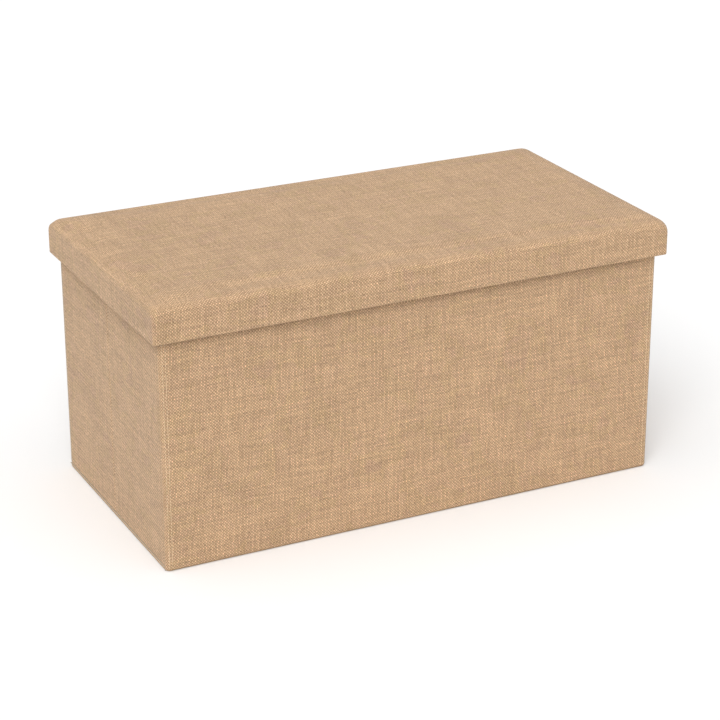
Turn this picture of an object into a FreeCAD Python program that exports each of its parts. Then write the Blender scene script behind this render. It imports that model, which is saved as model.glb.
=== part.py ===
"""Folding storage bench: a fabric-covered box with a padded lift-off lid.

Millimetres. X runs along the bench, -Y is its front, +Z is up. The origin is the
centre of the underside. Every wall is a fibreboard panel between an outer linen cover
and an inner lining. Each end wall is two half panels that fold inwards at a centre
crease, so the back wall can close up against the front wall.
"""
import FreeCAD
import Part
import Sketcher

import os

# Driving dimensions: alias, millimetres, meaning.
SIZES = [
    ("body_length", 738.0, "outer length of the box"),
    ("body_width", 370.0, "outer depth of the box, front to back"),
    ("wall_top", 349.4, "height of the walls' top edge above the floor"),
    ("linen", 1.2, "thickness of the outer linen cover"),
    ("lining", 0.8, "thickness of the non-woven lining"),
    ("wall_board", 5.0, "thickness of a wall's fibreboard"),
    ("wall_corner", 6.0, "outer radius of the box's vertical corners"),
    ("base_board", 3.4, "thickness of the base board"),
    ("base_cloth", 0.8, "thickness of the cloth round the base board"),
    ("fold_gap", 0.5, "play between an end half and the wall that it is sewn to"),
    ("crease_gap", 0.3, "play on each side of an end wall's centre crease"),
    ("floor_gap", 0.4, "height of the folding walls above the base panel"),
    ("lid_length", 760.0, "outer length of the lid"),
    ("lid_width", 392.0, "outer depth of the lid"),
    ("lid_top", 374.0, "height of the lid's top face above the floor"),
    ("rim_bottom", 323.0, "height of the lid rim's lower edge above the floor"),
    ("rim_board", 3.0, "thickness of a rim board"),
    ("lid_board", 6.0, "thickness of the lid's top board"),
    ("foam", 16.0, "thickness of the lid's foam pad"),
    ("lid_corner", 4.0, "outer radius of the lid's vertical corners"),
    ("lid_edge", 3.6, "outer radius along the lid's top edge"),
    ("staple_crown", 10.0, "width of a staple across its crown"),
    ("staple_leg", 5.4, "length of a staple's legs under its crown"),
    ("staple_wire", 1.0, "width of the staple wire"),
    ("staple_flat", 0.6, "thickness of the staple wire"),
    ("staple_inset", 24.0, "distance of the staple rows from the lid's outer faces"),
]
LONG_SIDE_STAPLES = 11
SHORT_SIDE_STAPLES = 5

# Half the side of the square that each sketch starts as, before its sides are bound.
SKETCH_START = 100
# How closely an edge has to match a place (millimetres) or a direction to be picked.
SAME_PLACE = 0.01
SAME_DIRECTION = 0.99

document = FreeCAD.newDocument("StorageBench")
sizes = document.addObject("Spreadsheet::Sheet", "Sizes")
for row, (alias, value, meaning) in enumerate(SIZES, start=1):
    sizes.set(f"A{row}", meaning)
    sizes.set(f"B{row}", str(value))
    sizes.setAlias(f"B{row}", alias)
document.recompute()

# Sums of driving dimensions that several sub-parts share, as expressions.
LINEN = "Sizes.linen"
PANEL_SHELL = "(Sizes.linen + Sizes.wall_board)"
PANEL = "(Sizes.linen + Sizes.wall_board + Sizes.lining)"
BASE_TOP = "(2 * Sizes.base_cloth + Sizes.base_board)"
WALL_FOOT = f"({BASE_TOP} + Sizes.floor_gap)"
END_HALF = f"(Sizes.body_width / 2 - {PANEL} - Sizes.fold_gap - Sizes.crease_gap)"
LID_BOARD_FOOT = "(Sizes.lid_top - Sizes.linen - Sizes.foam - Sizes.lid_board)"
RIM = "(Sizes.linen + Sizes.rim_board)"

nodes = []


def new_body(label):
    """Add an empty body, which becomes the sub-part of that name."""
    body = document.addObject("PartDesign::Body", label)
    body.Label = label
    nodes.append(body)
    return body


def rectangle(body, name, west, east, south, north, height="0"):
    """Sketch a rectangle parallel to the XY plane; its four sides are expressions."""
    sketch = body.newObject("Sketcher::SketchObject", f"{body.Name}_{name}")
    floor = next(plane for plane in body.Origin.OriginFeatures if plane.Role == "XY_Plane")
    sketch.AttachmentSupport = (floor, [""])
    sketch.MapMode = "FlatFace"
    sketch.setExpression("AttachmentOffset.Base.z", height)
    far = SKETCH_START
    corners = [(-far, -far), (far, -far), (far, far), (-far, far)]
    for start, end in zip(corners, corners[1:] + corners[:1]):
        sketch.addGeometry(Part.LineSegment(FreeCAD.Vector(*start), FreeCAD.Vector(*end)))
    for side in range(4):
        sketch.addConstraint(Sketcher.Constraint("Coincident", side, 2, (side + 1) % 4, 1))
        sketch.addConstraint(Sketcher.Constraint(("Horizontal", "Vertical")[side % 2], side))
    bounds = [("DistanceX", 0, 1, -far, "west", west), ("DistanceX", 0, 2, far, "east", east),
              ("DistanceY", 0, 1, -far, "south", south), ("DistanceY", 2, 1, far, "north", north)]
    for kind, side, end, value, label, expression in bounds:
        index = sketch.addConstraint(Sketcher.Constraint(kind, -1, 1, side, end, value))
        sketch.renameConstraint(index, label)
        sketch.setExpression(f"Constraints.{label}", expression)
    return sketch


def pad(body, sketch, height):
    """Raise a sketch into a solid."""
    feature = body.newObject("PartDesign::Pad", f"{sketch.Name}_pad")
    feature.Profile = sketch
    feature.setExpression("Length", height)
    document.recompute()
    return feature


def pocket(body, sketch, depth):
    """Cut a sketch upwards out of the body, and make sure that it removed something."""
    before = body.Shape.Volume
    feature = body.newObject("PartDesign::Pocket", f"{sketch.Name}_pocket")
    feature.Profile = sketch
    feature.Reversed = True
    feature.setExpression("Length", depth)
    document.recompute()
    if body.Shape.Volume >= before:
        raise RuntimeError(f"{feature.Name} cuts nothing")
    return feature


def round_edges(body, name, radius, wanted):
    """Fillet the edges of the body's last feature for which wanted(edge) is true."""
    base = body.Tip
    picked = [f"Edge{n}" for n, edge in enumerate(base.Shape.Edges, start=1) if wanted(edge)]
    feature = body.newObject("PartDesign::Fillet", f"{body.Name}_{name}")
    feature.Base = (base, picked)
    feature.setExpression("Radius", radius)
    document.recompute()
    return feature


def value_of(expression):
    """Work out an expression of the sheet's cells in millimetres."""
    return float(sizes.evalExpression(expression.replace("Sizes.", "")))


def is_upright(edge):
    return abs(edge.tangentAt(edge.FirstParameter).z) > SAME_DIRECTION


def is_at(value, wanted):
    return abs(value - wanted) < SAME_PLACE


def centred(length):
    """The west and east sides of something of that length, centred on zero."""
    return f"-({length}) / 2", f"({length}) / 2"


def place(body, x="0", y="0", z="0", turn=0):
    """Turn a body about the vertical and bind its position to the sheet."""
    body.Placement = FreeCAD.Placement(
        FreeCAD.Vector(), FreeCAD.Rotation(FreeCAD.Vector(0, 0, 1), turn))
    for axis, expression in zip("xyz", (x, y, z)):
        body.setExpression(f"Placement.Base.{axis}", expression)


def wall_panel(name, length, height, rounded, **where):
    """Make one wall: a linen cover wrapped round a board, and a lining inside it.

    In the panel's own frame its outer face is y = 0, +Y points into the box, and it
    stands centred on x = 0. A rounded panel has the box's corner radius at both ends.
    """
    west, east = centred(length)
    cover = new_body(f"{name}_linen_cover")
    outline = rectangle(cover, "outline", west, east, "0", PANEL_SHELL)
    pad(cover, outline, height)
    board_west, board_east = centred(f"{length} - 2 * {LINEN}")
    board_height = f"{height} - 2 * {LINEN}"
    recess = rectangle(cover, "recess", board_west, board_east, LINEN, PANEL_SHELL, LINEN)
    pocket(cover, recess, board_height)

    board = new_body(f"{name}_board")
    outline = rectangle(board, "outline", board_west, board_east, LINEN, PANEL_SHELL, LINEN)
    pad(board, outline, board_height)

    if rounded:
        inner = value_of(LINEN)
        ends = value_of(length) / 2 - inner
        for body in (cover, board):
            round_edges(body, "board_corners", f"Sizes.wall_corner - {LINEN}",
                        lambda edge: is_upright(edge) and is_at(edge.CenterOfMass.y, inner)
                        and is_at(abs(edge.CenterOfMass.x), ends))
        round_edges(cover, "corners", "Sizes.wall_corner",
                    lambda edge: is_upright(edge) and is_at(edge.CenterOfMass.y, 0))

    lining = new_body(f"{name}_lining")
    outline = rectangle(lining, "outline", west, east, PANEL_SHELL, PANEL)
    pad(lining, outline, height)

    for body in (cover, board, lining):
        place(body, **where)


def make_walls():
    """The front and back walls span the box's length; the end halves fit between them."""
    wall_panel("front", "Sizes.body_length", "Sizes.wall_top", True, y="-Sizes.body_width / 2")
    folding_height = f"(Sizes.wall_top - {WALL_FOOT})"
    wall_panel("back", "Sizes.body_length", folding_height, True,
               y="Sizes.body_width / 2", z=WALL_FOOT, turn=180)
    middle = f"({END_HALF} / 2 + Sizes.crease_gap)"
    for side, sign, turn in (("left", "-", -90), ("right", "", 90)):
        for half, towards in (("front", "-"), ("rear", "")):
            wall_panel(f"{side}_{half}_half", END_HALF, folding_height, False,
                       x=f"{sign}Sizes.body_length / 2", y=f"{towards}{middle}",
                       z=WALL_FOOT, turn=turn)


def make_base():
    """The base panel lies behind the front wall, and the other walls stand over it."""
    front = f"-Sizes.body_width / 2 + {PANEL}"
    back = "Sizes.body_width / 2"
    west, east = centred("Sizes.body_length")
    cover = new_body("base_linen_cover")
    outline = rectangle(cover, "outline", west, east, front, back)
    pad(cover, outline, "Sizes.base_cloth + Sizes.base_board")
    cloth = "Sizes.base_cloth"
    board_west, board_east = centred(f"Sizes.body_length - 2 * {cloth}")
    sides = (board_west, board_east, f"{front} + {cloth}", f"{back} - {cloth}", cloth)
    recess = rectangle(cover, "recess", *sides)
    pocket(cover, recess, "Sizes.base_board")

    board = new_body("base_board")
    outline = rectangle(board, "outline", *sides)
    pad(board, outline, "Sizes.base_board")

    board_back = value_of(f"{back} - {cloth}")
    for body in (cover, board):
        round_edges(body, "board_corners", f"Sizes.wall_corner - {cloth}",
                    lambda edge: is_upright(edge) and is_at(edge.CenterOfMass.y, board_back))
    outer_back = value_of(back)
    round_edges(cover, "corners", "Sizes.wall_corner",
                lambda edge: is_upright(edge) and is_at(edge.CenterOfMass.y, outer_back))

    lining = new_body("base_lining")
    outline = rectangle(lining, "outline", west, east, front, back, f"{BASE_TOP} - {cloth}")
    pad(lining, outline, cloth)
    round_edges(lining, "corners", "Sizes.wall_corner",
                lambda edge: is_upright(edge) and edge.CenterOfMass.y > 0)


def lid_sides(inset):
    """The four sides of the lid's outline, moved inwards by inset."""
    return (*centred(f"Sizes.lid_length - 2 * {inset}"), *centred(f"Sizes.lid_width - 2 * {inset}"))


def round_lid_shell(body, name, top, inset):
    """Round the upright corners and the top edge of the lid surface that lies inset inside."""
    half_length = value_of(f"Sizes.lid_length / 2 - {inset}")
    round_edges(body, f"{name}_corners", f"Sizes.lid_corner - {inset}",
                lambda edge: is_upright(edge) and is_at(abs(edge.CenterOfMass.x), half_length))
    edge_height = value_of(top)
    round_edges(body, f"{name}_edge", f"Sizes.lid_edge - {inset}",
                lambda edge: is_at(edge.BoundBox.ZMin, edge_height)
                and is_at(edge.BoundBox.ZMax, edge_height))


def make_lid_pad():
    """The lid's linen cover, its foam pad and the board under the foam."""
    foam_top = f"Sizes.lid_top - {LINEN}"
    cover = new_body("lid_linen_cover")
    outline = rectangle(cover, "outline", *lid_sides("0"), "Sizes.rim_bottom")
    pad(cover, outline, "Sizes.lid_top - Sizes.rim_bottom")
    inside = rectangle(cover, "inside", *lid_sides(LINEN), f"Sizes.rim_bottom + {LINEN}")
    pocket(cover, inside, f"Sizes.lid_top - Sizes.rim_bottom - 2 * {LINEN}")
    mouth = rectangle(cover, "mouth", *lid_sides(RIM), "Sizes.rim_bottom")
    pocket(cover, mouth, LINEN)
    round_lid_shell(cover, "inner", foam_top, LINEN)
    round_lid_shell(cover, "outer", "Sizes.lid_top", "0")

    foam = new_body("lid_foam_pad")
    outline = rectangle(foam, "outline", *lid_sides(LINEN), f"{foam_top} - Sizes.foam")
    pad(foam, outline, "Sizes.foam")
    round_lid_shell(foam, "outer", foam_top, LINEN)

    board = new_body("lid_board")
    outline = rectangle(board, "outline", *lid_sides(LINEN), LID_BOARD_FOOT)
    pad(board, outline, "Sizes.lid_board")
    round_edges(board, "corners", f"Sizes.lid_corner - {LINEN}", is_upright)


def make_lid_rim():
    """Four rim boards under the top board's edge, and the lining inside them."""
    foot = f"Sizes.rim_bottom + {LINEN}"
    height = f"{LID_BOARD_FOOT} - ({foot})"
    length = f"Sizes.lid_length - 2 * {LINEN}"
    for name, turn, sign in (("front", 0, "-"), ("back", 180, "")):
        board = new_body(f"lid_rim_board_{name}")
        outline = rectangle(board, "outline", *centred(length), "0", "Sizes.rim_board")
        pad(board, outline, height)
        round_edges(board, "corners", f"Sizes.lid_corner - {LINEN}",
                    lambda edge: is_upright(edge) and is_at(edge.CenterOfMass.y, 0))
        place(board, y=f"{sign}(Sizes.lid_width / 2 - {LINEN})", z=foot, turn=turn)
    for name, turn, sign in (("left", -90, "-"), ("right", 90, "")):
        board = new_body(f"lid_rim_board_{name}")
        outline = rectangle(board, "outline", *centred(f"Sizes.lid_width - 2 * {RIM}"),
                            "0", "Sizes.rim_board")
        pad(board, outline, height)
        place(board, x=f"{sign}(Sizes.lid_length / 2 - {LINEN})", z=foot, turn=turn)

    lining = new_body("lid_lining")
    outline = rectangle(lining, "outline", *lid_sides(RIM), "Sizes.rim_bottom")
    pad(lining, outline, f"{LID_BOARD_FOOT} - Sizes.rim_bottom")
    inside = rectangle(lining, "inside", *lid_sides(f"({RIM} + Sizes.lining)"), "Sizes.rim_bottom")
    pocket(lining, inside, f"{LID_BOARD_FOOT} - Sizes.rim_bottom - Sizes.lining")


def staple_at(x, y, turn):
    """One staple, driven up through the lining into the lid board.

    Its crown has sunk into the soft lining by half its thickness.
    """
    crown = value_of("Sizes.staple_crown")
    leg = value_of("Sizes.staple_leg")
    wire = value_of("Sizes.staple_wire")
    flat = value_of("Sizes.staple_flat")
    seat = value_of(f"{LID_BOARD_FOOT} - Sizes.lining + Sizes.staple_flat / 2")
    outer = Part.makeBox(crown, wire, leg + flat, FreeCAD.Vector(-crown / 2, -wire / 2, -flat))
    inner = Part.makeBox(crown - 2 * flat, wire, leg, FreeCAD.Vector(flat - crown / 2, -wire / 2, 0))
    staple = outer.cut(inner)
    staple.rotate(FreeCAD.Vector(), FreeCAD.Vector(0, 0, 1), turn)
    staple.translate(FreeCAD.Vector(x, y, seat))
    return staple


def make_staples():
    """A row of staples inside each side of the lid, all in one sub-part."""
    inset = value_of("Sizes.staple_inset")
    far_x = value_of("Sizes.lid_length") / 2 - inset
    far_y = value_of("Sizes.lid_width") / 2 - inset
    staples = []
    for step in range(LONG_SIDE_STAPLES):
        x = far_x * (2 * (step + 0.5) / LONG_SIDE_STAPLES - 1)
        staples += [staple_at(x, y, 0) for y in (-far_y, far_y)]
    for step in range(SHORT_SIDE_STAPLES):
        y = far_y * (2 * (step + 0.5) / SHORT_SIDE_STAPLES - 1)
        staples += [staple_at(x, y, 90) for x in (-far_x, far_x)]
    group = document.addObject("Part::Feature", "lid_staples")
    group.Label = "lid_staples"
    group.Shape = Part.makeCompound(staples)
    group.Placement = FreeCAD.Placement()
    nodes.append(group)


def write_parts():
    """Stop on a failed feature or a bad shape, and otherwise write one file per sub-part."""
    document.recompute()
    for item in document.Objects:
        if {"Invalid", "Error"} & set(item.State):
            raise RuntimeError(f"{item.Name} failed: {item.State}")
    for node in nodes:
        if node.Shape.isNull() or not node.Shape.isValid():
            raise RuntimeError(f"{node.Label} has no valid shape")
    os.makedirs("parts", exist_ok=True)
    for node in nodes:
        node.Shape.exportStep(f"parts/{node.Label}.step")
        print(f"{node.Label}: {node.Shape.Volume / 1000:.1f} cm3")


make_base()
make_walls()
make_lid_pad()
make_lid_rim()
make_staples()
write_parts()
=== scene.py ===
import math

import bmesh
import bpy
import numpy as np
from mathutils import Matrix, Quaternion, Vector, noise


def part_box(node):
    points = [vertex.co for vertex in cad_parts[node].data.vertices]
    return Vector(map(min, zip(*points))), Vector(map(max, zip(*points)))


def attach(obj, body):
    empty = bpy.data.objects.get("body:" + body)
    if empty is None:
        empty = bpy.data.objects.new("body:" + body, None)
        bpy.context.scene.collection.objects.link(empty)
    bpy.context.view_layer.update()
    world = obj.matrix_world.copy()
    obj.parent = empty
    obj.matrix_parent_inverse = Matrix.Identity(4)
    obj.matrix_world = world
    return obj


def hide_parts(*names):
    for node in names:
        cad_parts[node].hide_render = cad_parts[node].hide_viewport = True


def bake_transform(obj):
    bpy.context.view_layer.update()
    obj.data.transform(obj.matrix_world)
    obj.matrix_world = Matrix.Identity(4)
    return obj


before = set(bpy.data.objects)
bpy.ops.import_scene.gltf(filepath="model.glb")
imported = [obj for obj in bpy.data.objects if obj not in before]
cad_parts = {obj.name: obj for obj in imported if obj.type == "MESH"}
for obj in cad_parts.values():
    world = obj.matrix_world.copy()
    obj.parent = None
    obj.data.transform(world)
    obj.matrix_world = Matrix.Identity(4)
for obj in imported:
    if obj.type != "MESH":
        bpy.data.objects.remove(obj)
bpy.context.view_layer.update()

bl_info = {
    "name": "Folding Storage Bench",
    "version": (1, 0, 0),
    "blender": (4, 5, 0),
    "location": "View3D > Sidebar > Bench",
    "description": "Builds the covers, padded lid, linings and stitching of a folding storage bench",
    "category": "Object",
}

MM = 0.001

# Sizes that the frame gives: the box, its wall thickness and the lid's rim.
FRONT_LOW, FRONT_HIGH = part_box("front_linen_cover")
LINING_LOW, LINING_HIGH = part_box("front_lining")
BACK_LOW, BACK_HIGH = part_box("back_linen_cover")
BASE_LOW, BASE_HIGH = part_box("base_linen_cover")
LID_LOW, LID_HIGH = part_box("lid_linen_cover")
BOARD_LOW, BOARD_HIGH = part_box("lid_board")
CAP_LOW, CAP_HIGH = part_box("lid_lining")
HALF_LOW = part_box("left_front_half_linen_cover")[0]
WALL_TOP = FRONT_HIGH.z
BOX_END = FRONT_HIGH.x
PANEL = LINING_HIGH.y - FRONT_LOW.y

# Radii of the cloth's bends.
WALL_CORNER = 6 * MM
WALL_FOOT = 4.5 * MM
BASE_FOOT = 3 * MM
TOP_FOLD = 2.5 * MM
HALF_EDGE = 1.6 * MM
LINING_EDGE = 0.25 * MM
CAP_EDGE = 1.5 * MM
RIM_CORNER = 4 * MM
LID_HEM = 2.2 * MM

# How stretched cloth lies: slack between its edges, and drawn in along a stitched row.
MOST_SLACK = 0.2 * MM
ROW_WIDTH = 0.9 * MM
ROW_DEPTH = 0.35 * MM
END_ROW_DEPTH = 0.3 * MM
CREASE_WIDTH = 2.2 * MM
CREASE_DEPTH = 0.9 * MM
ROW_LINES = (-1.2 * MM, 0, 1.2 * MM)

# The weave: bends are in yarns, and their scales are per metre.
SLOW_BEND, SLOW_BEND_SCALE = 0.9, 60.0
QUICK_BEND, QUICK_BEND_SCALE = 0.7, 330.0
YARN_CURVE = 3.4
OVER_UNDER = 0.85
STREAK_LENGTH = 0.04
STREAK_HEIGHT = 0.3
WARP_STREAK, WEFT_STREAK = 0.6, 1.1
CROSSING_TONE = 0.7

# Stuffing the lid.
PRESSURE = 4.0
STIFFNESS = 30.0
BENDING = 2.0
LAST_FRAME = 20

WEST, EAST, SOUTH, NORTH, DOWN, UP = range(6)


class BenchSizes(bpy.types.PropertyGroup):
    """Sizes of the soft parts, which the frame doesn't hold."""
    yarn_pitch: bpy.props.FloatProperty(
        name="Yarn pitch", description="Distance between neighbouring yarns of the linen",
        default=2.1 * MM, unit="LENGTH", precision=5)
    linen: bpy.props.FloatProperty(
        name="Linen", description="Thickness of the linen cover",
        default=1.2 * MM, unit="LENGTH", precision=5)
    lining: bpy.props.FloatProperty(
        name="Lining", description="Thickness of the non-woven lining",
        default=LINING_HIGH.y - LINING_LOW.y, unit="LENGTH", precision=5)
    pad_edge: bpy.props.FloatProperty(
        name="Pad edge", description="Radius along the lid's top edge",
        default=11 * MM, unit="LENGTH", precision=4)
    pad_corner: bpy.props.FloatProperty(
        name="Pad corner", description="Radius of the lid's corners at the top, seen from above",
        default=18 * MM, unit="LENGTH", precision=4)
    crown: bpy.props.FloatProperty(
        name="Crown", description="The furthest that the stuffed lid swells outwards",
        default=3.5 * MM, unit="LENGTH", precision=4)
    stitch_step: bpy.props.FloatProperty(
        name="Stitch step", description="Distance from one stitch to the next",
        default=4.5 * MM, unit="LENGTH", precision=4)
    stitch_inset: bpy.props.FloatProperty(
        name="Stitch inset", description="Distance of a row of topstitching from the edge",
        default=9 * MM, unit="LENGTH", precision=4)


class BenchColours(bpy.types.PropertyGroup):
    """Colours of the bench's materials."""
    warp: bpy.props.FloatVectorProperty(
        name="Warp", description="Colour of the paler yarns", subtype="COLOR",
        default=(0.720, 0.494, 0.314), min=0, max=1)
    weft: bpy.props.FloatVectorProperty(
        name="Weft", description="Colour of the darker yarns, which cross the others", subtype="COLOR",
        default=(0.430, 0.262, 0.144), min=0, max=1)
    # Painted shade: this dark colour between the yarns stands in for the shadow that falls in the gaps
    # of the weave.
    gap: bpy.props.FloatVectorProperty(
        name="Painted gap shade", description="Colour in the gaps between yarns", subtype="COLOR",
        default=(0.240, 0.138, 0.068), min=0, max=1)
    thread: bpy.props.FloatVectorProperty(
        name="Thread", description="Colour of the sewing thread", subtype="COLOR",
        default=(0.860, 0.660, 0.450), min=0, max=1)
    lining: bpy.props.FloatVectorProperty(
        name="Lining", description="Colour of the non-woven lining", subtype="COLOR",
        default=(0.560, 0.470, 0.360), min=0, max=1)
    board: bpy.props.FloatVectorProperty(
        name="Board", description="Colour of the fibreboard", subtype="COLOR",
        default=(0.400, 0.260, 0.140), min=0, max=1)
    foam: bpy.props.FloatVectorProperty(
        name="Foam", description="Colour of the foam pad", subtype="COLOR",
        default=(0.820, 0.760, 0.600), min=0, max=1)
    steel: bpy.props.FloatVectorProperty(
        name="Steel", description="Colour of the staples", subtype="COLOR",
        default=(0.620, 0.630, 0.640), min=0, max=1)
    floor: bpy.props.FloatVectorProperty(
        name="Floor", description="Colour of the studio floor", subtype="COLOR",
        default=(0.950, 0.950, 0.950), min=0, max=1)


# ---------------------------------------------------------------- shader nodes


class Wiring:
    """Adds nodes to a tree, left to right, and joins them."""

    def __init__(self, tree):
        self.tree = tree

    def node(self, kind, inputs=None, **settings):
        """A node with its settings, and with its inputs fed by name or number."""
        made = self.tree.nodes.new(kind)
        for name, value in settings.items():
            setattr(made, name, value)
        for key, value in (inputs or {}).items():
            self.feed(made.inputs[key], value)
        return made

    def feed(self, socket, value):
        """Join a socket to another, or give it a plain value."""
        if isinstance(value, bpy.types.NodeSocket):
            self.tree.links.new(value, socket)
        else:
            socket.default_value = value

    def math(self, operation, *values):
        return self.node("ShaderNodeMath", dict(enumerate(values)), operation=operation).outputs[0]

    def swing(self, value, amount):
        """A value from 0 to 1 turned into one around 0, as wide as amount."""
        return self.math("MULTIPLY", self.math("SUBTRACT", value, 0.5), amount)

    def spread(self, value, low, high, to_low=0.0, to_high=1.0):
        """Map a value from low..high to to_low..to_high, clamped and eased."""
        inputs = dict(enumerate((value, low, high, to_low, to_high)))
        return self.node("ShaderNodeMapRange", inputs, interpolation_type="SMOOTHSTEP").outputs[0]

    def blend(self, share, one, other, how="MIX"):
        # A mix node's colours are its inputs 6 and 7 and its output 2.
        return self.node("ShaderNodeMix", {0: share, 6: one, 7: other},
                         data_type="RGBA", blend_type=how).outputs[2]

    def point(self, x=0.0, y=0.0, z=0.0):
        return self.node("ShaderNodeCombineXYZ", {"X": x, "Y": y, "Z": z}).outputs[0]

    def noise(self, where, scale, detail=2.0):
        inputs = {"Vector": where, "Scale": scale, "Detail": detail}
        return self.node("ShaderNodeTexNoise", inputs).outputs["Fac"]

    def place(self):
        """Where a point lies on the object."""
        return self.node("ShaderNodeTexCoord").outputs["Object"]

    def cloth(self):
        """Where a point lies on the unfolded cloth, in metres."""
        return self.node("ShaderNodeUVMap", uv_map="Cloth").outputs[0]


def new_group(name, inputs, outputs):
    """A shader node group with float, vector or colour sockets, and its wiring."""
    kinds = {"F": "NodeSocketFloat", "V": "NodeSocketVector", "C": "NodeSocketColor"}
    tree = bpy.data.node_groups.new(name, "ShaderNodeTree")
    for label, kind, value in inputs:
        socket = tree.interface.new_socket(label, in_out="INPUT", socket_type=kinds[kind])
        if value is not None:
            socket.default_value = value
    for label, kind in outputs:
        tree.interface.new_socket(label, in_out="OUTPUT", socket_type=kinds[kind])
    wiring = Wiring(tree)
    return tree, wiring, wiring.node("NodeGroupInput"), wiring.node("NodeGroupOutput")


def weave_group():
    """Plain weave of uneven yarns.

    Gives which yarn is on top (1 for the paler warp), where there is a yarn at all, how
    pale that yarn is just there, and the cloth's height.
    """
    tree, w, given, result = new_group(
        "Plain Weave",
        [("Cloth", "V", None), ("Pitch", "F", 2.1 * MM)],
        [("Warp", "F"), ("Yarn", "F"), ("Tone", "F"), ("Height", "F")])
    cloth = given.outputs["Cloth"]
    apart = w.node("ShaderNodeSeparateXYZ", {0: cloth})
    slow = w.swing(w.noise(cloth, SLOW_BEND_SCALE, 1.0), SLOW_BEND)
    quick = w.noise(cloth, QUICK_BEND_SCALE, 1.0)

    def wandering(distance, turn):
        """A distance in yarns, bent by the yarns' unevenness."""
        bent = w.math("ADD", slow, w.swing(quick, QUICK_BEND * turn))
        return w.math("ADD", w.math("DIVIDE", distance, given.outputs["Pitch"]), bent)

    across, along = wandering(apart.outputs[0], 1.0), wandering(apart.outputs[1], -1.0)

    def yarn(sideways, lengthways, turn, seed):
        """Height and paleness of the yarns that lie side by side along sideways."""
        number = w.math("FLOOR", sideways)
        middle = w.math("SUBTRACT", w.math("FRACT", sideways), 0.5)
        squared = w.math("MULTIPLY", middle, middle)
        roundness = w.math("SUBTRACT", 1.0, w.math("MULTIPLY", squared, YARN_CURVE))
        phase = w.math("MULTIPLY", w.math("ADD", w.math("ADD", lengthways, number), turn), math.pi)
        wave = w.math("ADD", w.math("MULTIPLY", w.math("SINE", phase), 0.5), 0.5)
        far_along = w.math("MULTIPLY", lengthways, STREAK_LENGTH)
        # Neighbouring yarns are far apart in the noise, so that their streaks differ.
        streak = w.noise(w.point(far_along, w.math("MULTIPLY", number, 7.31), seed), 1.0, 1.0)
        rise = w.math("ADD", w.math("MULTIPLY", wave, OVER_UNDER), 1 - OVER_UNDER)
        height = w.math("MULTIPLY", roundness, rise)
        return w.math("ADD", height, w.swing(streak, STREAK_HEIGHT)), streak, number

    warp, warp_streak, warp_number = yarn(across, along, 0.0, 3.0)
    weft, weft_streak, weft_number = yarn(along, across, 1.0, 11.0)
    on_top = w.spread(w.math("SUBTRACT", warp, weft), -0.2, 0.2)
    streak = w.math("MULTIPLY", warp_streak, WARP_STREAK)
    streak = w.math("ADD", streak, w.swing(weft_streak, WEFT_STREAK))
    numbers = [w.math("MULTIPLY", number, 0.83) for number in (warp_number, weft_number)]
    crossing = w.noise(w.point(*numbers, 5.0), 1.0, 0.0)
    tone = w.math("ADD", w.spread(streak, 0.05, 0.60, 0.91, 1.13), w.swing(crossing, CROSSING_TONE))
    height = w.math("MAXIMUM", warp, weft)
    w.feed(result.inputs["Warp"], on_top)
    # The yarn mask: where it falls towards 0, at yarn edges and between yarns, the linen paints dark
    # shade in place of the shadow between yarns.
    w.feed(result.inputs["Yarn"], w.spread(height, 0.15, 0.6))
    w.feed(result.inputs["Tone"], tone)
    w.feed(result.inputs["Height"], height)
    return tree


def mottle_group():
    """Slow colour drift and fine fuzz, which the cloth, lining and board materials share."""
    tree, w, given, result = new_group(
        "Mottle",
        [("Place", "V", None), ("Colour", "C", (0.5, 0.5, 0.5, 1)), ("Slow scale", "F", 14.0),
         ("Fine scale", "F", 900.0), ("Depth", "F", 0.1)],
        [("Colour", "C"), ("Fuzz", "F")])
    slow = w.noise(given.outputs["Place"], given.outputs["Slow scale"], 3.0)
    warmth = w.noise(w.point(slow, w.math("MULTIPLY", slow, 3.0), 0.5), 4.0, 1.0)
    fuzz = w.noise(given.outputs["Place"], given.outputs["Fine scale"], 2.0)
    depth = given.outputs["Depth"]
    brightness = w.math("ADD", w.swing(slow, depth), 1.0)
    shade = w.math("ADD", brightness, w.swing(fuzz, depth))
    tint = w.swing(warmth, depth)
    green = w.math("ADD", shade, w.math("MULTIPLY", tint, 0.5))
    blue = w.math("SUBTRACT", shade, tint)
    tinted = w.node("ShaderNodeCombineColor", {0: shade, 1: green, 2: blue}).outputs[0]
    w.feed(result.inputs["Colour"], w.blend(1.0, given.outputs["Colour"], tinted, "MULTIPLY"))
    w.feed(result.inputs["Fuzz"], fuzz)
    return tree


def group_of(name, maker):
    """The node group of that name, made the first time that it is asked for."""
    return bpy.data.node_groups.get(name) or maker()


def opaque(colour):
    return (*colour, 1.0)


def new_material(name, roughness, sheen=0.0, metallic=0.0):
    """A material with a Principled shader; returns it with its wiring and shader."""
    material = bpy.data.materials.new(name)
    material.use_nodes = True
    shader = material.node_tree.nodes["Principled BSDF"]
    shader.inputs["Roughness"].default_value = roughness
    shader.inputs["Metallic"].default_value = metallic
    shader.inputs["Sheen Weight"].default_value = sheen
    shader.inputs["Sheen Roughness"].default_value = 0.6
    shader.inputs["Specular IOR Level"].default_value = 0.5 if metallic else 0.2
    return material, Wiring(material.node_tree), shader


def add_bump(w, shader, height, strength, distance):
    bump = w.node("ShaderNodeBump", {"Strength": strength, "Distance": distance, "Height": height})
    w.feed(shader.inputs["Normal"], bump.outputs["Normal"])


def roughen(w, shader, fuzz, least, most):
    """Let the fuzz vary the roughness from least to most."""
    w.feed(shader.inputs["Roughness"], w.spread(fuzz, 0.3, 0.7, least, most))


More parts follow.
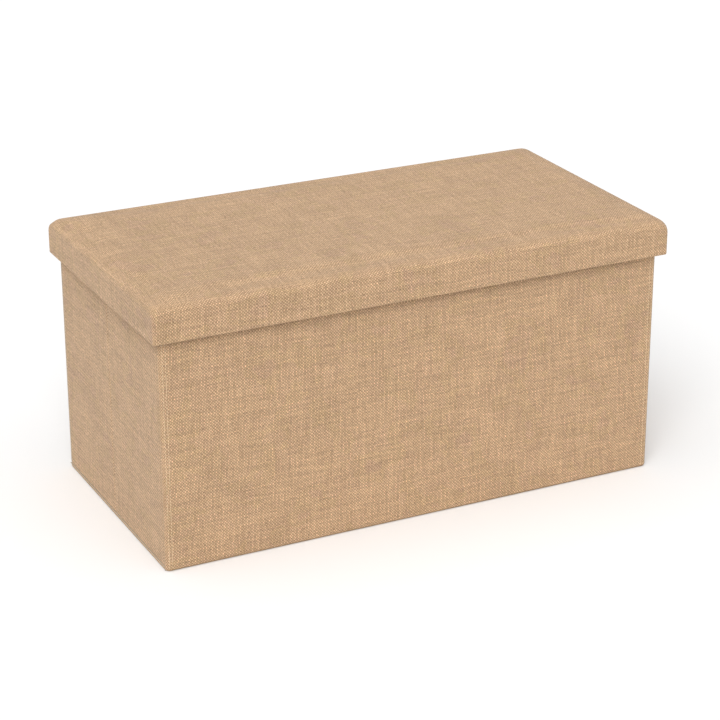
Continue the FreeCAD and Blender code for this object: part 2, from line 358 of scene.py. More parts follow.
def mottled(w, place, colour, slow, fine, depth):
    """A Mottle group node: slow and fine are the noises' scales; depth is how strong they are."""
    inputs = {"Place": place, "Colour": colour, "Slow scale": slow, "Fine scale": fine, "Depth": depth}
    made = w.node("ShaderNodeGroup", inputs, node_tree=group_of("Mottle", mottle_group))
    return made.outputs["Colour"], made.outputs["Fuzz"]


def linen_material():
    """Tan linen-look cloth; its weave follows the cloth's own UV map, in metres."""
    colours, sizes = settings().colours, settings().sizes
    material, w, shader = new_material("Tan Linen", 0.9, sheen=0.12)
    cloth = w.cloth()
    weave = w.node("ShaderNodeGroup", {"Cloth": cloth, "Pitch": sizes.yarn_pitch},
                   node_tree=group_of("Plain Weave", weave_group))
    crossing = w.blend(weave.outputs["Warp"], opaque(colours.weft), opaque(colours.warp))
    # Painted shade: where the yarn mask is low, the dark gap colour stands in for the shadow between the
    # yarns.
    yarns = w.blend(weave.outputs["Yarn"], opaque(colours.gap), crossing)
    tone = w.node("ShaderNodeCombineColor", dict.fromkeys(range(3), weave.outputs["Tone"]))
    toned = w.blend(1.0, yarns, tone.outputs[0], "MULTIPLY")
    colour, fuzz = mottled(w, cloth, toned, slow=16.0, fine=1400.0, depth=0.20)
    w.feed(shader.inputs["Base Color"], colour)
    roughen(w, shader, fuzz, 0.84, 0.97)
    add_bump(w, shader, weave.outputs["Height"], strength=0.9, distance=0.5 * MM)
    return material


def lining_material():
    """Non-woven cloth: matted fibres with a fine grid of pressed dots."""
    material, w, shader = new_material("Non-Woven Lining", 0.95)
    cloth = w.cloth()
    colour, fuzz = mottled(w, cloth, opaque(settings().colours.lining),
                           slow=30.0, fine=700.0, depth=0.22)
    dots = w.node("ShaderNodeTexVoronoi", {"Vector": cloth, "Scale": 620.0, "Randomness": 0.15},
                  voronoi_dimensions="2D", feature="F1")
    pressed = w.spread(dots.outputs["Distance"], 0.15, 0.35)
    darker = w.math("MULTIPLY", w.math("SUBTRACT", 1.0, pressed), 0.25)
    w.feed(shader.inputs["Base Color"], w.blend(darker, colour, (0.30, 0.25, 0.19, 1.0)))
    roughen(w, shader, fuzz, 0.88, 0.98)
    height = w.math("ADD", pressed, w.math("MULTIPLY", fuzz, 0.6))
    add_bump(w, shader, height, strength=0.6, distance=0.2 * MM)
    return material


def grainy_material(name, colour, slow, fine, depth, rough, bump=0.0, **finish):
    """One colour with drift and fuzz: rough is its range of roughness, bump its relief."""
    material, w, shader = new_material(name, rough[1], **finish)
    grained, fuzz = mottled(w, w.place(), opaque(colour), slow, fine, depth)
    w.feed(shader.inputs["Base Color"], grained)
    roughen(w, shader, fuzz, *rough)
    if bump:
        add_bump(w, shader, fuzz, strength=0.3, distance=bump)
    return material


def board_material():
    """Fibreboard: fine brown fibres."""
    return grainy_material("Fibreboard", settings().colours.board, slow=9.0, fine=1500.0, depth=0.35,
                           rough=(0.70, 0.88), bump=0.2 * MM)


def steel_material():
    """Galvanised staple wire, slightly scratched."""
    return grainy_material("Staple Steel", settings().colours.steel, slow=200.0, fine=3000.0,
                           depth=0.2, rough=(0.28, 0.5), metallic=1.0)


def thread_material():
    """Sewing thread, with a twist that shows as fine fuzz."""
    return grainy_material("Sewing Thread", settings().colours.thread, slow=60.0, fine=4000.0,
                           depth=0.25, rough=(0.65, 0.85), bump=0.1 * MM, sheen=0.1)


def foam_material():
    """Open-cell foam: pores a millimetre across."""
    material, w, shader = new_material("Foam", 0.95)
    place = w.place()
    colour, fuzz = mottled(w, place, opaque(settings().colours.foam),
                           slow=12.0, fine=800.0, depth=0.18)
    cells = w.node("ShaderNodeTexVoronoi", {"Vector": place, "Scale": 900.0}, feature="F1")
    pores = w.spread(cells.outputs["Distance"], 0.1, 0.5)
    darker = w.math("MULTIPLY", pores, 0.3)
    w.feed(shader.inputs["Base Color"], w.blend(darker, colour, (0.5, 0.43, 0.3, 1.0)))
    roughen(w, shader, fuzz, 0.90, 0.99)
    add_bump(w, shader, pores, strength=0.5, distance=0.4 * MM)
    return material


MATERIALS = {"Tan Linen": linen_material, "Non-Woven Lining": lining_material,
             "Fibreboard": board_material, "Foam": foam_material,
             "Staple Steel": steel_material, "Sewing Thread": thread_material}


def material_of(name):
    """The material of that name, made the first time that it is asked for."""
    return bpy.data.materials.get(name) or MATERIALS[name]()


def settings():
    return bpy.context.scene.bench


# ---------------------------------------------------------------- cloth shells


def marks(low, high, bends, pitch, extra=()):
    """Places of the mesh's lines along one side: given offsets at each end, and even between."""
    near, far = bends
    start, end = low + max(near), high - max(far)
    middle = np.linspace(start, end, max(1, round((end - start) / pitch)) + 1)
    places = np.concatenate([low + np.array(near), middle, high - np.array(far), np.array(extra)])
    return np.unique(np.round(places, 7))


def bend_offsets(radius, steps=4):
    """Offsets from an edge at which a rounded edge of that radius needs mesh lines."""
    return list(np.linspace(0, radius, steps + 1)) if radius else [0.0]


def round_off(points, low, high, near, far):
    """Move points of a box's surface onto the same box with rounded edges and corners."""
    inner_low, inner_high = low + near, high - far
    below, above = points < inner_low, points > inner_high
    radius = np.where(below, near, np.where(above, far, 1.0))
    core = np.clip(points, inner_low, inner_high)
    share = np.where(below | above, (points - core) / np.where(radius > 0, radius, 1.0), 0.0)
    share = np.tan(share * math.pi / 4)
    length = np.linalg.norm(share, axis=1, keepdims=True)
    largest = np.abs(share).max(axis=1, keepdims=True)
    return core + radius * share * np.where(length > 0, largest / np.where(length > 0, length, 1.0), 1.0)


def cloth_place(side, x, y, z, low, high):
    """Where a point of one side lies on the unfolded cloth, in metres."""
    return {SOUTH: (x, z), NORTH: (2 * high[0] + high[1] - low[1] - x, z),
            WEST: (low[0] + low[1] - y, z), EAST: (high[0] + y - low[1], z),
            UP: (x, high[2] + y - low[1]), DOWN: (x, low[2] + low[1] - y)}[side]


def shell(name, low, high, lines, sides, rounding, keep=None):
    """Build the surface of a rounded box as a mesh of quads.

    lines are the places of the mesh lines along X, Y and Z; sides are the sides that have
    cloth; rounding takes the flat points and gives the final ones; keep(side, x, y, z) can
    leave out single faces by their middle.
    """
    mesh = bpy.data.meshes.new(name)
    made = bmesh.new()
    cloth = made.loops.layers.uv.new("Cloth")
    numbers, flat = {}, []
    faces = []
    for side in sides:
        axis, end = divmod(side, 2)
        first, second = [a for a in range(3) if a != axis]
        fixed = (len(lines[axis]) - 1) if end else 0
        # The winding makes every face point outwards.
        flip = (end == 0) != (axis == 1)
        for i in range(len(lines[first]) - 1):
            for j in range(len(lines[second]) - 1):
                ring = [(i, j), (i + 1, j), (i + 1, j + 1), (i, j + 1)]
                corners = []
                for a, b in (reversed(ring) if flip else ring):
                    key = [0, 0, 0]
                    key[axis], key[first], key[second] = fixed, a, b
                    corners.append(tuple(key))
                places = [[lines[n][key[n]] for n in range(3)] for key in corners]
                if keep and not keep(side, *np.mean(places, axis=0)):
                    continue
                for key, place in zip(corners, places):
                    if key not in numbers:
                        numbers[key] = len(flat)
                        flat.append(place)
                faces.append((side, corners, places))
    final = rounding(np.array(flat))
    vertices = [made.verts.new(place) for place in final]
    for side, corners, places in faces:
        face = made.faces.new([vertices[numbers[key]] for key in corners])
        face.smooth = True
        for loop, place in zip(face.loops, places):
            loop[cloth].uv = cloth_place(side, *place, low, high)
    made.to_mesh(mesh)
    made.free()
    piece = bpy.data.objects.new(name, mesh)
    bpy.context.scene.collection.objects.link(piece)
    return piece


def ease(value):
    """Smooth step from 0 to 1."""
    value = np.clip(value, 0, 1)
    return value * value * (3 - 2 * value)


def ripple(points, seed, wavelength, depth):
    """Slow unevenness of stretched cloth, from -depth to depth, at each point."""
    shift = Vector((seed, 2.7 * seed, -seed))
    return depth * np.array([noise.noise(Vector(p) / wavelength + shift) for p in points])


def calm_near(points, low, high, axes, margin):
    """0 at the edges of a panel, rising to 1 at margin inside them."""
    share = np.ones(len(points))
    for axis in axes:
        share *= ease((points[:, axis] - low[axis]) / margin)
        share *= ease((high[axis] - points[:, axis]) / margin)
    return share


def finish_cloth(piece, thickness, material, body=None, subdivide=0):
    """Give a cloth shell its thickness, inwards, its material and its body."""
    if subdivide:
        smooth = piece.modifiers.new("Smooth", "SUBSURF")
        smooth.levels = smooth.render_levels = subdivide
        smooth.use_limit_surface = False
    if thickness:
        solid = piece.modifiers.new("Thickness", "SOLIDIFY")
        solid.thickness = thickness
        solid.offset = -1
        solid.use_even_offset = True
    apply_modifiers(piece)
    piece.data.materials.append(material_of(material))
    if body:
        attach(piece, body)
    return piece


def apply_modifiers(piece):
    """Turn the piece's evaluated shape into its plain mesh."""
    evaluated = piece.evaluated_get(bpy.context.evaluated_depsgraph_get())
    mesh = bpy.data.meshes.new_from_object(evaluated)
    piece.modifiers.clear()
    piece.data = mesh


def drawn_in(places, row):
    """1 along a stitched row, fading to 0 beside it."""
    return np.exp(-((places - row) / ROW_WIDTH) ** 2)


def wall_cover(name, outer, body, node, seed):
    """A linen cover over a front or back wall: outer face, rounded ends, top and foot.

    outer is the side that faces outwards, SOUTH or NORTH. The cover is open towards the
    inside, where the lining closes it.
    """
    sizes = settings().sizes
    low, high = (np.array(corner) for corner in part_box(node))
    near = np.array([WALL_CORNER, 0, WALL_FOOT])
    far = np.array([WALL_CORNER, 0, TOP_FOLD])
    (near if outer == SOUTH else far)[1] = WALL_CORNER
    inset = sizes.stitch_inset
    rows, hem = (low[0] + inset, high[0] - inset), high[2] - inset
    bends = [(bend_offsets(near[axis]), bend_offsets(far[axis])) for axis in range(3)]
    lines = [marks(low[0], high[0], bends[0], 12 * MM, [row + d for row in rows for d in ROW_LINES]),
             marks(low[1], high[1], bends[1], 3 * MM),
             marks(low[2], high[2], bends[2], 12 * MM, [hem + d for d in ROW_LINES])]

    def rounding(flat):
        points = round_off(flat, low, high, near, far)
        outward = -1 if outer == SOUTH else 1
        calm = calm_near(flat, low, high, (0, 2), 35 * MM)
        on_face = np.abs(flat[:, 1] - (low[1] if outer == SOUTH else high[1])) < 1e-6
        slack = ripple(flat, seed, 90 * MM, 0.5 * MM) * calm
        pulled = sum(drawn_in(flat[:, 0], row) for row in rows) + drawn_in(flat[:, 2], hem)
        depth = np.minimum(slack, MOST_SLACK) - ROW_DEPTH * np.minimum(pulled, 1)
        points[:, 1] += outward * on_face * depth
        return points

    sides = [WEST, EAST, outer, DOWN, UP]
    piece = shell(name, low, high, lines, sides, rounding)
    finish_cloth(piece, sizes.linen, "Tan Linen", body)
    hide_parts(node)


def end_cover(side):
    """The linen cover of one end wall, in one piece across the centre crease."""
    sizes = settings().sizes
    nodes = [f"{side}_{half}_half_linen_cover" for half in ("front", "rear")]
    boxes = [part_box(node) for node in nodes]
    low = np.min([corner[0] for corner in boxes], axis=0)
    high = np.max([corner[1] for corner in boxes], axis=0)
    outer = WEST if side == "left" else EAST
    near, far = (np.array([0, HALF_EDGE, TOP_FOLD]) for _ in range(2))
    (near if outer == WEST else far)[0] = TOP_FOLD
    hem = high[2] - sizes.stitch_inset
    crease = [step * MM for step in (-6, -4, -2.6, -1.5, -0.7, 0, 0.7, 1.5, 2.6, 4, 6)]
    bends = [(bend_offsets(near[axis]), bend_offsets(far[axis])) for axis in range(3)]
    lines = [marks(low[0], high[0], bends[0], 3 * MM),
             marks(low[1], high[1], bends[1], 10 * MM, crease),
             marks(low[2], high[2], bends[2], 12 * MM, [hem + d for d in ROW_LINES])]

    def rounding(flat):
        points = round_off(flat, low, high, near, far)
        outward = -1 if outer == WEST else 1
        on_face = np.abs(flat[:, 0] - (low[0] if outer == WEST else high[0])) < 1e-6
        calm = calm_near(flat, low, high, (1, 2), 35 * MM) * ease(np.abs(flat[:, 1]) / (20 * MM))
        slack = ripple(flat, 5.0 if outer == WEST else 9.0, 80 * MM, 0.5 * MM) * calm
        groove = np.exp(-(flat[:, 1] / CREASE_WIDTH) ** 2)
        row = END_ROW_DEPTH * drawn_in(flat[:, 2], hem) * (1 - groove)
        depth = np.minimum(slack, MOST_SLACK) - CREASE_DEPTH * groove - row
        points[:, 0] += outward * on_face * depth
        return points

    piece = shell(f"{side}_end_cover", low, high, lines, [outer, SOUTH, NORTH, DOWN, UP], rounding)
    finish_cloth(piece, sizes.linen, "Tan Linen")
    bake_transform(piece)
    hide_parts(*nodes)


def flat_sheet(name, low, high, thin, seed, pitch=10 * MM, depth=0.3 * MM):
    """A thin sheet against a wall or base: thin is the axis of its thickness."""
    low, high = np.array(low), np.array(high)
    bends = bend_offsets(LINING_EDGE, 1)
    lines = [marks(low[axis], high[axis], (bends, bends), pitch) for axis in range(3)]

    def rounding(flat):
        points = round_off(flat, low, high, np.full(3, LINING_EDGE), np.full(3, LINING_EDGE))
        calm = calm_near(flat, low, high, [axis for axis in range(3) if axis != thin], 25 * MM)
        outward = -np.sign((low[thin] + high[thin]) / 2) if thin < 2 else 1
        slack = ripple(flat * np.array([axis != thin for axis in range(3)]), seed, 45 * MM, depth)
        points[:, thin] += outward * np.abs(slack) * calm
        return points

    return shell(name, low, high, lines, range(6), rounding)


def wall_lining(name, node, body, seed):
    """The non-woven lining of one wall or half wall."""
    low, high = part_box(node)
    thin = min((0, 1), key=lambda axis: high[axis] - low[axis])
    piece = flat_sheet(name, low, high, thin, seed)
    finish_cloth(piece, 0, "Non-Woven Lining", body)
    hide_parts(node)


def corner_web(name, x, seam):
    """A strip of cover cloth inside a corner, which is the hinge between two walls.

    seam is the Y of the joint's line; the strip runs from the wall at one side of it to
    the end half at the other, towards the middle of the bench.
    """
    reach, thick = 5 * MM, 0.8 * MM
    inner = x - math.copysign(thick, x)
    low = np.array([min(x, inner), seam - reach, HALF_LOW.z + 2 * MM])
    high = np.array([max(x, inner), seam + reach, WALL_TOP - 2 * MM])
    lines = [np.array([low[0], high[0]]), np.linspace(low[1], high[1], 13),
             marks(low[2], high[2], ([0], [0]), 15 * MM)]
    piece = shell(name, low, high, lines, range(6), lambda flat: flat)
    finish_cloth(piece, 0, "Tan Linen")
    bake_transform(piece)


# ---------------------------------------------------------------- stitching


def stitch_tree():
    """Geometry nodes: thread stitches, one after another, along every edge path."""
    tree = bpy.data.node_groups.new("Stitches", "GeometryNodeTree")
    tree.interface.new_socket("Paths", in_out="INPUT", socket_type="NodeSocketGeometry")
    for label, value in (("Step", 4.5 * MM), ("Stitch length", 3.9 * MM),
                         ("Thread radius", 0.45 * MM), ("Unevenness", 0.12)):
        socket = tree.interface.new_socket(label, in_out="INPUT", socket_type="NodeSocketFloat")
        socket.default_value = value
    tree.interface.new_socket("Material", in_out="INPUT", socket_type="NodeSocketMaterial")
    tree.interface.new_socket("Stitches", in_out="OUTPUT", socket_type="NodeSocketGeometry")
    w = Wiring(tree)
    given, result = w.node("NodeGroupInput"), w.node("NodeGroupOutput")
    curve = w.node("GeometryNodeMeshToCurve", {0: given.outputs["Paths"]})
    points = w.node("GeometryNodeCurveToPoints", {"Curve": curve.outputs[0]}, mode="LENGTH")
    w.feed(points.inputs["Length"], given.outputs["Step"])
    stitch = w.node("GeometryNodeMeshUVSphere", {"Segments": 6, "Rings": 5, "Radius": 1.0})
    radius = given.outputs["Thread radius"]
    shape = w.point(radius, radius, w.math("MULTIPLY", given.outputs["Stitch length"], 0.5))
    sized = w.node("GeometryNodeTransform", {"Geometry": stitch.outputs[0], "Scale": shape})
    turn = w.node("FunctionNodeAlignRotationToVector", {"Vector": points.outputs["Tangent"]}, axis="Z")
    chance = w.node("FunctionNodeRandomValue", {"Seed": 7}, data_type="FLOAT")
    least, most = [socket for socket in chance.inputs if socket.type == "VALUE"][:2]
    w.feed(least, w.math("SUBTRACT", 1.0, given.outputs["Unevenness"]))
    w.feed(most, 1.0)
    size = next(socket for socket in chance.outputs if socket.type == "VALUE")
    placed = w.node("GeometryNodeInstanceOnPoints", {
        "Points": points.outputs["Points"], "Instance": sized.outputs["Geometry"],
        "Rotation": turn.outputs[0], "Scale": size})
    real = w.node("GeometryNodeRealizeInstances", {0: placed.outputs[0]})
    painted = w.node("GeometryNodeSetMaterial", {"Geometry": real.outputs[0],
                                                 "Material": given.outputs["Material"]})
    w.feed(result.inputs[0], painted.outputs[0])
    return tree


def stitches(name, paths, body):
    """Sew a row of stitches along each path, a list of points, as one piece on one body."""
    mesh = bpy.data.meshes.new(name)
    points, edges = [], []
    for path in paths:
        edges += [(len(points) + n, len(points) + n + 1) for n in range(len(path) - 1)]
        points += path
    mesh.from_pydata(points, edges, [])
    piece = bpy.data.objects.new(name, mesh)
    bpy.context.scene.collection.objects.link(piece)
    tree = bpy.data.node_groups.get("Stitches") or stitch_tree()
    sewing = piece.modifiers.new("Stitches", "NODES")
    sewing.node_group = tree
    values = {"Step": settings().sizes.stitch_step, "Material": material_of("Sewing Thread")}
    for socket in tree.interface.items_tree:
        if socket.in_out == "INPUT" and socket.name in values:
            sewing[socket.identifier] = values[socket.name]
    apply_modifiers(piece)
    for face in piece.data.polygons:
        face.use_smooth = True
    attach(piece, body)


# ---------------------------------------------------------------- the lid


def swell(piece, pinned_below, most):
    """Stuff a closed shell: cloth simulation with pressure, held still below a height.

    The foam inside keeps the cloth from sinking in or sliding, so only movement straight
    outwards stays.
    """
    rest = np.array([vertex.co for vertex in piece.data.vertices])
    outward = np.array([vertex.normal for vertex in piece.data.vertices])
    held = piece.vertex_groups.new(name="held")
    for vertex in piece.data.vertices:
        if vertex.co.z < pinned_below:
            held.add([vertex.index], 1.0, "REPLACE")
    cloth = piece.modifiers.new("Cloth", "CLOTH")
    cloth.settings.vertex_group_mass = "held"
    cloth.settings.use_pressure = True
    cloth.settings.uniform_pressure_force = PRESSURE
    cloth.settings.effector_weights.gravity = 0.0
    cloth.settings.quality = 5
    cloth.settings.tension_stiffness = STIFFNESS
    cloth.settings.compression_stiffness = STIFFNESS
    cloth.settings.bending_stiffness = BENDING
    cloth.point_cache.frame_start = 1
    cloth.point_cache.frame_end = LAST_FRAME
    scene = bpy.context.scene
    for step in range(1, LAST_FRAME + 1):
        scene.frame_set(step)
    evaluated = piece.evaluated_get(bpy.context.evaluated_depsgraph_get())
    moved = np.array([vertex.co for vertex in evaluated.data.vertices]) - rest
    piece.modifiers.clear()
    piece.vertex_groups.clear()
    scene.frame_set(1)
    distance = np.maximum((moved * outward).sum(axis=1, keepdims=True), 0)
    swollen = rest + outward * most * np.tanh(distance / most)
    piece.data.vertices.foreach_set("co", swollen.ravel())
    piece.data.update()


def soft_lid(flat, low, high, inset, hem):
    """Round off the lid's shape, or the same shape moved inwards by inset.

    The upright corners are tight at the rim and wider at the soft top.
    """
    sizes = settings().sizes
    rise = ease((flat[:, 2] - BOARD_HIGH.z) / (LID_HIGH.z - BOARD_HIGH.z))
    plan = RIM_CORNER + (sizes.pad_corner - RIM_CORNER) * rise - inset
    near = np.stack([plan, plan, np.full(len(flat), hem)], axis=1)
    far = np.stack([plan, plan, np.full(len(flat), sizes.pad_edge - inset)], axis=1)
    return round_off(flat, low, high, near, far)


def lid_cover():
    """The lid's linen cover: stuffed top, upright rim, and a hem under the rim boards."""
    sizes = settings().sizes
    low, high = np.array(LID_LOW), np.array(LID_HIGH)
    lip = CAP_LOW.x - LID_LOW.x
    bends = [0, 1.3 * MM, 2.7 * MM, lip, 7.5 * MM, 10 * MM, 13 * MM, 16 * MM, sizes.pad_corner]
    lines = [marks(low[0], high[0], (bends, bends), 9 * MM),
             marks(low[1], high[1], (bends, bends), 9 * MM),
             marks(low[2], high[2], (bend_offsets(LID_HEM, 3), bend_offsets(sizes.pad_edge, 5)), 5 * MM)]
    piece = shell("lid_cover", low, high, lines, range(6),
                  lambda flat: soft_lid(flat, low, high, 0, LID_HEM))
    swell(piece, BOARD_LOW.z, sizes.crown)
    open_underside(piece, low, high, lip)
    finish_cloth(piece, sizes.linen, "Tan Linen", "lid", subdivide=1)
    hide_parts("lid_linen_cover")


def open_underside(piece, low, high, lip):
    """Cut away the shell's underside inside the hem's width."""
    made = bmesh.new()
    made.from_mesh(piece.data)
    gone = []
    for face in made.faces:
        middle = face.calc_center_median()
        inside = all(low[axis] + lip < middle[axis] < high[axis] - lip for axis in (0, 1))
        if middle.z < low[2] + 1 * MM and inside:
            gone.append(face)
    bmesh.ops.delete(made, geom=gone, context="FACES")
    made.to_mesh(piece.data)
    made.free()


def foam_pad():
    """The foam under the lid's cover, with the same soft edges."""
    low, high = (np.array(corner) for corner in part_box("lid_foam_pad"))
    gap = 0.6 * MM
    inset = low[0] - LID_LOW.x + gap
    low[:2] += gap
    high -= gap
    bends = bend_offsets(settings().sizes.pad_edge)
    lines = [marks(low[axis], high[axis], (bends, bends), 20 * MM) for axis in (0, 1)]
    lines.append(marks(low[2], high[2], ([0], bends), 4 * MM))
    piece = shell("foam_pad", low, high, lines, range(6),
                  lambda flat: soft_lid(flat, low, high, inset, 0))
    finish_cloth(piece, 0, "Foam", "lid")
    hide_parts("lid_foam_pad")


def lid_lining():
    """The lining under the lid board and down the inside of the rim."""
    sizes = settings().sizes
    low, high = np.array(CAP_LOW), np.array(CAP_HIGH)
    bends = bend_offsets(CAP_EDGE, 2)
    lines = [marks(low[axis], high[axis], (bends, bends), 12 * MM) for axis in (0, 1)]
    lines.append(marks(low[2], high[2], ([0], bends), 6 * MM))

    def rounding(flat):
        near, far = np.array([CAP_EDGE, CAP_EDGE, 0]), np.full(3, CAP_EDGE)
        points = round_off(flat, low, high, near, far)
        calm = calm_near(flat, low, high, (0, 1), 40 * MM) * (flat[:, 2] > high[2] - 1e-6)
        points[:, 2] -= np.abs(ripple(flat, 31.0, 60 * MM, 0.35 * MM)) * calm
        return points

    piece = shell("lid_inner_lining", low, high, lines, [WEST, EAST, SOUTH, NORTH, UP], rounding)
    finish_cloth(piece, sizes.lining, "Non-Woven Lining", "lid")
    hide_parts("lid_lining")


# ---------------------------------------------------------------- operators


class BENCH_OT_wall_covers(bpy.types.Operator):
    """Make the linen covers of the front and back walls"""
    bl_idname = "bench.wall_covers"
    bl_label = "Wall covers"

    def execute(self, context):
        wall_cover("front_cover", SOUTH, "base_and_front", "front_linen_cover", 1.0)
        wall_cover("back_cover", NORTH, "back_wall", "back_linen_cover", 2.0)
        return {"FINISHED"}


class BENCH_OT_end_covers(bpy.types.Operator):
    """Make the linen covers of both end walls, each across its crease"""
    bl_idname = "bench.end_covers"
    bl_label = "End covers"

    def execute(self, context):
        for side in ("left", "right"):
            end_cover(side)
        return {"FINISHED"}


class BENCH_OT_linings(bpy.types.Operator):
    """Make the non-woven linings inside the walls and on the base"""
    bl_idname = "bench.linings"
    bl_label = "Linings"

    def execute(self, context):
        wall_lining("front_inner_lining", "front_lining", "base_and_front", 3.0)
        wall_lining("back_inner_lining", "back_lining", "back_wall", 4.0)
        for number, half in enumerate(("left_front", "left_rear", "right_front", "right_rear")):
            wall_lining(f"{half}_inner_lining", f"{half}_half_lining", f"{half}_half", 21.0 + number)
        low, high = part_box("base_lining")
        piece = flat_sheet("base_inner_lining", low, high, 2, 6.0, depth=0.2 * MM)
        finish_cloth(piece, 0, "Non-Woven Lining", "base_and_front")
        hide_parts("base_lining")
        return {"FINISHED"}


class BENCH_OT_base_cover(bpy.types.Operator):
    """Make the cloth that wraps the base board from below"""
    bl_idname = "bench.base_cover"
    bl_label = "Base cover"

    def execute(self, context):
        low, high = np.array(BASE_LOW), np.array(BASE_HIGH)
        seam = 0.5 * MM
        near = np.array([WALL_CORNER, seam, BASE_FOOT])
        far = np.array([WALL_CORNER, WALL_CORNER, 0])
        corner = bend_offsets(WALL_CORNER)
        lines = [marks(low[0], high[0], (corner, corner), 15 * MM),
                 marks(low[1], high[1], (bend_offsets(seam, 1), corner), 15 * MM),
                 marks(low[2], high[2], (bend_offsets(BASE_FOOT), [0]), 1.5 * MM)]
        piece = shell("base_cover", low, high, lines, [WEST, EAST, SOUTH, NORTH, DOWN],
                      lambda flat: round_off(flat, low, high, near, far))
        finish_cloth(piece, 0.8 * MM, "Tan Linen", "base_and_front")
        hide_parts("base_linen_cover")
        return {"FINISHED"}


class BENCH_OT_corner_webs(bpy.types.Operator):
    """Make the strips of cloth that hinge the end halves to the front and back walls"""
    bl_idname = "bench.corner_webs"
    bl_label = "Corner webs"

    def execute(self, context):
        depth = 1.6 * MM
        front_seam = FRONT_LOW.y + PANEL
        back_seam = BACK_HIGH.y - PANEL
        for side, x in (("left", depth - BOX_END), ("right", BOX_END - depth)):
            corner_web(f"{side}_front_corner_web", x, front_seam)
        corner_web("left_back_corner_web", depth - BOX_END, back_seam)
        return {"FINISHED"}


class BENCH_OT_foam_pad(bpy.types.Operator):
    """Make the foam pad under the lid's cover"""
    bl_idname = "bench.foam_pad"
    bl_label = "Foam pad"

    def execute(self, context):
        foam_pad()
        return {"FINISHED"}


class BENCH_OT_lid_cover(bpy.types.Operator):
    """Make the lid's stuffed linen cover and its inner lining"""
    bl_idname = "bench.lid_cover"
    bl_label = "Lid cover"

    def execute(self, context):
        lid_cover()
        lid_lining()
        return {"FINISHED"}


class BENCH_OT_stitching(bpy.types.Operator):
    """Sew the topstitching of the front, back and end walls"""
    bl_idname = "bench.stitching"
    bl_label = "Stitching"

    def execute(self, context):
        inset = settings().sizes.stitch_inset
        hem = WALL_TOP - inset
        foot = WALL_CORNER
        sunk = 0.2 * MM
        for name, body, face, foot_z in (
                ("front", "base_and_front", FRONT_LOW.y, foot),
                ("back", "back_wall", BACK_HIGH.y, BACK_LOW.z + foot)):
            y = face + math.copysign(sunk, -face)
            edge_y = y + math.copysign(sunk, -face)
            upright = [[(x, y, foot_z), (x, y, hem)] for x in (inset - BOX_END, BOX_END - inset)]
            upright += [[(x, edge_y, foot_z), (x, edge_y, hem)]
                        for x in (inset / 2 - BOX_END, BOX_END - inset / 2)]
            level = [[(inset - BOX_END, y, hem), (BOX_END - inset, y, hem)]]
            stitches(f"{name}_topstitching", upright + level, body)
        for side, x in (("left", sunk - BOX_END), ("right", BOX_END - sunk)):
            for half, sign in (("front", -1), ("rear", 1)):
                ends = [sign * 5 * MM, sign * (-HALF_LOW.y - 4 * MM)]
                stitches(f"{side}_{half}_topstitching", [[(x, y, hem) for y in ends]],
                         f"{side}_{half}_half")
        return {"FINISHED"}


class BENCH_OT_boards(bpy.types.Operator):
    """Give the boards and staples their finish"""
    bl_idname = "bench.boards"
    bl_label = "Boards and staples"

    def execute(self, context):
        for name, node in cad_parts.items():
            if "board" in name:
                paint(node, "Fibreboard")
        paint(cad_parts["lid_staples"], "Staple Steel")
        return {"FINISHED"}


def paint(node, material):
    """Put a material on a CAD node, in place of its own."""
    node.data.materials.clear()
    node.data.materials.append(material_of(material))


class BENCH_OT_stage(bpy.types.Operator):
    """Set up the studio: pale floor, soft light and the camera"""
    bl_idname = "bench.stage"
    bl_label = "Stage"

    def execute(self, context):
        scene = context.scene
        scene.view_settings.view_transform = "Standard"
        # The default prefilter takes the fine weave for noise and wipes it out.
        scene.cycles.denoising_prefilter = "NONE"
        floor_mesh = bpy.data.meshes.new("studio_floor")
        reach = 30.0
        corners = [(x * reach, y * reach, 0) for x, y in ((-1, -1), (1, -1), (1, 1), (-1, 1))]
        floor_mesh.from_pydata(corners, [], [(0, 1, 2, 3)])
        floor = bpy.data.objects.new("studio_floor", floor_mesh)
        scene.collection.objects.link(floor)
        material, w, shader = new_material("Studio Floor", 0.9)
        shader.inputs["Base Color"].default_value = opaque(settings().colours.floor)
        floor_mesh.materials.append(material)

        world = bpy.data.worlds.new("Studio")
        world.use_nodes = True
        sky = world.node_tree.nodes["Background"]
        sky.inputs["Color"].default_value = (1, 1, 1, 1)
        sky.inputs["Strength"].default_value = 0.26
        scene.world = world
        add_sun(scene, "Key", strength=1.42, spread=38, azimuth=-34, elevation=42)
        add_sun(scene, "Top", strength=1.76, spread=84, azimuth=-50, elevation=76)
        add_camera(scene)
        return {"FINISHED"}


def direction(azimuth, elevation):
    """Unit vector from the bench towards a place: azimuth from the front, both in degrees."""
    around, up = math.radians(azimuth), math.radians(elevation)
    return Vector((math.sin(around) * math.cos(up), -math.cos(around) * math.cos(up), math.sin(up)))


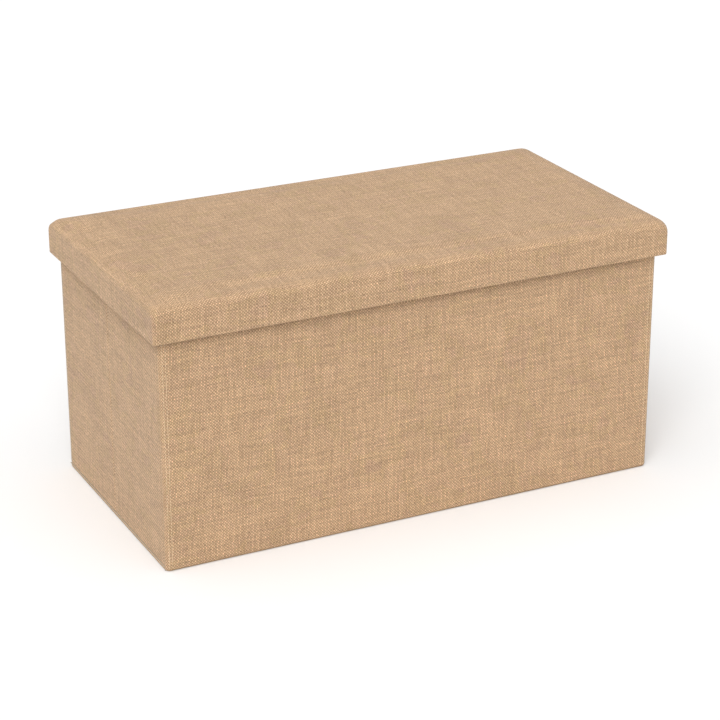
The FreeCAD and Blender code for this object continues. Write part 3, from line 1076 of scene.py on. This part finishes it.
def add_sun(scene, name, strength, spread, azimuth, elevation):
    """A soft light from far away: spread, azimuth and elevation in degrees."""
    lamp = bpy.data.lights.new(name, "SUN")
    lamp.energy = strength
    lamp.angle = math.radians(spread)
    source = direction(azimuth, elevation)
    light = bpy.data.objects.new(name, lamp)
    light.rotation_mode = "QUATERNION"
    light.rotation_quaternion = (-source).to_track_quat("-Z", "Y")
    scene.collection.objects.link(light)


def add_camera(scene):
    """A long lens from the front left, a little above the lid."""
    distance = 3.2408
    roll = math.radians(-0.11)
    aim = Vector((0.0035, 0.0, 0.1632))
    back = direction(azimuth=-26.23, elevation=22.41)
    data = bpy.data.cameras.new("Camera")
    data.lens = 115.0
    camera = bpy.data.objects.new("Camera", data)
    camera.location = aim + distance * back
    camera.rotation_mode = "QUATERNION"
    camera.rotation_quaternion = (-back).to_track_quat("-Z", "Y") @ Quaternion((0, 0, 1), roll)
    scene.collection.objects.link(camera)
    scene.camera = camera


class BenchSettings(bpy.types.PropertyGroup):
    """Everything that a user may change on the bench."""
    sizes: bpy.props.PointerProperty(
        type=BenchSizes, name="Sizes", description="Sizes of the soft parts")
    colours: bpy.props.PointerProperty(
        type=BenchColours, name="Colours", description="Colours of the materials")


OPERATORS = (BENCH_OT_stage, BENCH_OT_boards, BENCH_OT_wall_covers, BENCH_OT_end_covers,
             BENCH_OT_base_cover, BENCH_OT_linings, BENCH_OT_corner_webs, BENCH_OT_foam_pad,
             BENCH_OT_lid_cover, BENCH_OT_stitching)


class VIEW3D_PT_bench(bpy.types.Panel):
    """Lists the steps that build the bench, in order"""
    bl_label = "Folding Storage Bench"
    bl_idname = "VIEW3D_PT_bench"
    bl_space_type = "VIEW_3D"
    bl_region_type = "UI"
    bl_category = "Bench"

    def draw(self, context):
        for operator in OPERATORS:
            self.layout.operator(operator.bl_idname)


CLASSES = (BenchSizes, BenchColours, BenchSettings, *OPERATORS, VIEW3D_PT_bench)


def register():
    for item in CLASSES:
        bpy.utils.register_class(item)
    bpy.types.Scene.bench = bpy.props.PointerProperty(type=BenchSettings)


def unregister():
    del bpy.types.Scene.bench
    for item in reversed(CLASSES):
        bpy.utils.unregister_class(item)


def main():
    register()
    for operator in OPERATORS:
        family, name = operator.bl_idname.split(".")
        getattr(getattr(bpy.ops, family), name)()


if __name__ == "__main__":
    main()
